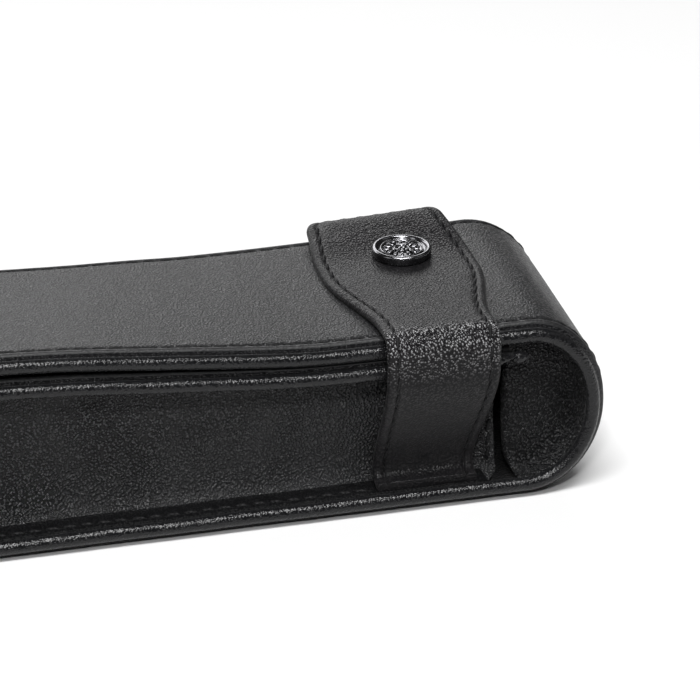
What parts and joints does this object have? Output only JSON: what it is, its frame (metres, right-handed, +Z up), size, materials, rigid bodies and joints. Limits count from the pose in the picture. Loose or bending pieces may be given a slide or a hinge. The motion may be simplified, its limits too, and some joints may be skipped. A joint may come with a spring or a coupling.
{
  "type": "fountain pen case",
  "caption": "Soft-cornered leather pen pouch rolled from one stiffened strip, with recessed side gussets, a flap over the top and a snap-down strap across the mouth end.",
  "frame": {"origin": "middle of the case's bounding box, on the surface that the bottom panel lies on", "axes": "+X along the case towards the mouth end with the strap, +Y from the strap's sewn foot side to the back, +Z up through the flap"},
  "size_m": [0.165, 0.0539, 0.0411],
  "materials": {
    "outer_leather": "black fine-grained leather, satin",
    "lining_leather": "black thin lining leather, matte",
    "gusset_leather": "black pebbled soft leather, satin",
    "stiffener_board": "grey-brown pressed board, hidden between leather and lining",
    "thread": "black waxed polyester thread",
    "gunmetal": "polished dark gunmetal plating",
    "stud_metal": "plain nickel-plated steel"
  },
  "bodies": {
    "case": {"case_leather": "outer_leather", "case_lining": "lining_leather", "bottom_board": "stiffener_board", "inner_top_board": "stiffener_board", "gusset_front": "gusset_leather", "gusset_back": "gusset_leather", "pen_divider": "lining_leather", "strap_foot": "outer_leather", "case_thread_front": "thread", "case_thread_back": "thread"},
    "flap": {"flap_leather": "outer_leather", "flap_lining": "lining_leather", "flap_board": "stiffener_board", "flap_thread": "thread", "snap_stud": "stud_metal", "snap_post": "stud_metal"},
    "strap_riser": {"riser_leather": "outer_leather", "riser_lining": "lining_leather", "riser_thread_left": "thread", "riser_thread_right": "thread"},
    "strap_tab": {"tab_leather": "outer_leather", "tab_lining": "lining_leather", "tab_thread": "thread", "snap_cap": "gunmetal", "snap_inlay": "gunmetal", "snap_stem": "stud_metal", "snap_socket": "stud_metal"}
  },
  "joints": [
    {"name": "flap_open", "type": "hinge", "parent": "case", "child": "flap", "pos_m": [0.0825, 0, 0.0173], "axis": [0, 1, 0], "range_deg": [0, 44]},
    {"name": "strap_lean", "type": "hinge", "parent": "case", "child": "strap_riser", "pos_m": [0.0508, -0.0215, 0.005], "axis": [1, 0, 0], "range_deg": [0, 84]},
    {"name": "strap_fold", "type": "hinge", "parent": "strap_riser", "child": "strap_tab", "pos_m": [0.0508, -0.0266, 0.0396], "axis": [1, 0, 0], "range_deg": [0, 88.5]}
  ],
  "couplings": [
    {"joint": "strap_lean", "follows": "flap_open", "ratio": 1.9},
    {"joint": "strap_fold", "follows": "flap_open", "ratio": 2}
  ]
}
